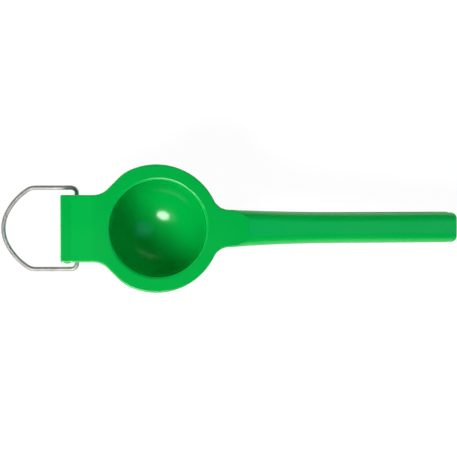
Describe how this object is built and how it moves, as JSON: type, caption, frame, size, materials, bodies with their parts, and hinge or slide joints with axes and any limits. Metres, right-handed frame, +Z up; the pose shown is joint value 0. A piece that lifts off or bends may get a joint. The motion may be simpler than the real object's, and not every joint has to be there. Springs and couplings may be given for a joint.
{
  "type": "lime squeezer",
  "caption": "Hand-held lime squeezer: hinged enamelled levers press a cut fruit between a hollow dome and a strainer cup, and a wire ring at the hinge hangs it up.",
  "frame": {"origin": "middle of the flat foot under the strainer cup, on the surface that the squeezer lies on", "axes": "+X from the hinge towards the ends of the handles, +Y across the hinge, +Z up through the cup's mouth"},
  "size_m": [0.2379, 0.0662, 0.0366],
  "materials": {
    "enamelled_casting": "gloss green enamel over die-cast aluminium",
    "painted_pin": "gloss green enamel over a steel rivet pin",
    "ring_wire": "satin stainless steel wire"
  },
  "bodies": {
    "lower": {"lower_lever": "enamelled_casting"},
    "upper": {"upper_lever": "enamelled_casting", "hinge_pin": "painted_pin"},
    "ring": {"hanging_ring": "ring_wire"}
  },
  "joints": [
    {"name": "lever_hinge", "type": "hinge", "parent": "lower", "child": "upper", "pos_m": [-0.0472, 0, 0.02881], "axis": [0, -1, 0], "range_deg": [0, 120]},
    {"name": "ring_swing", "type": "hinge", "parent": "lower", "child": "ring", "pos_m": [-0.0425, 0, 0.02581], "axis": [0, -1, 0], "range_deg": [-20, 100]}
  ]
}
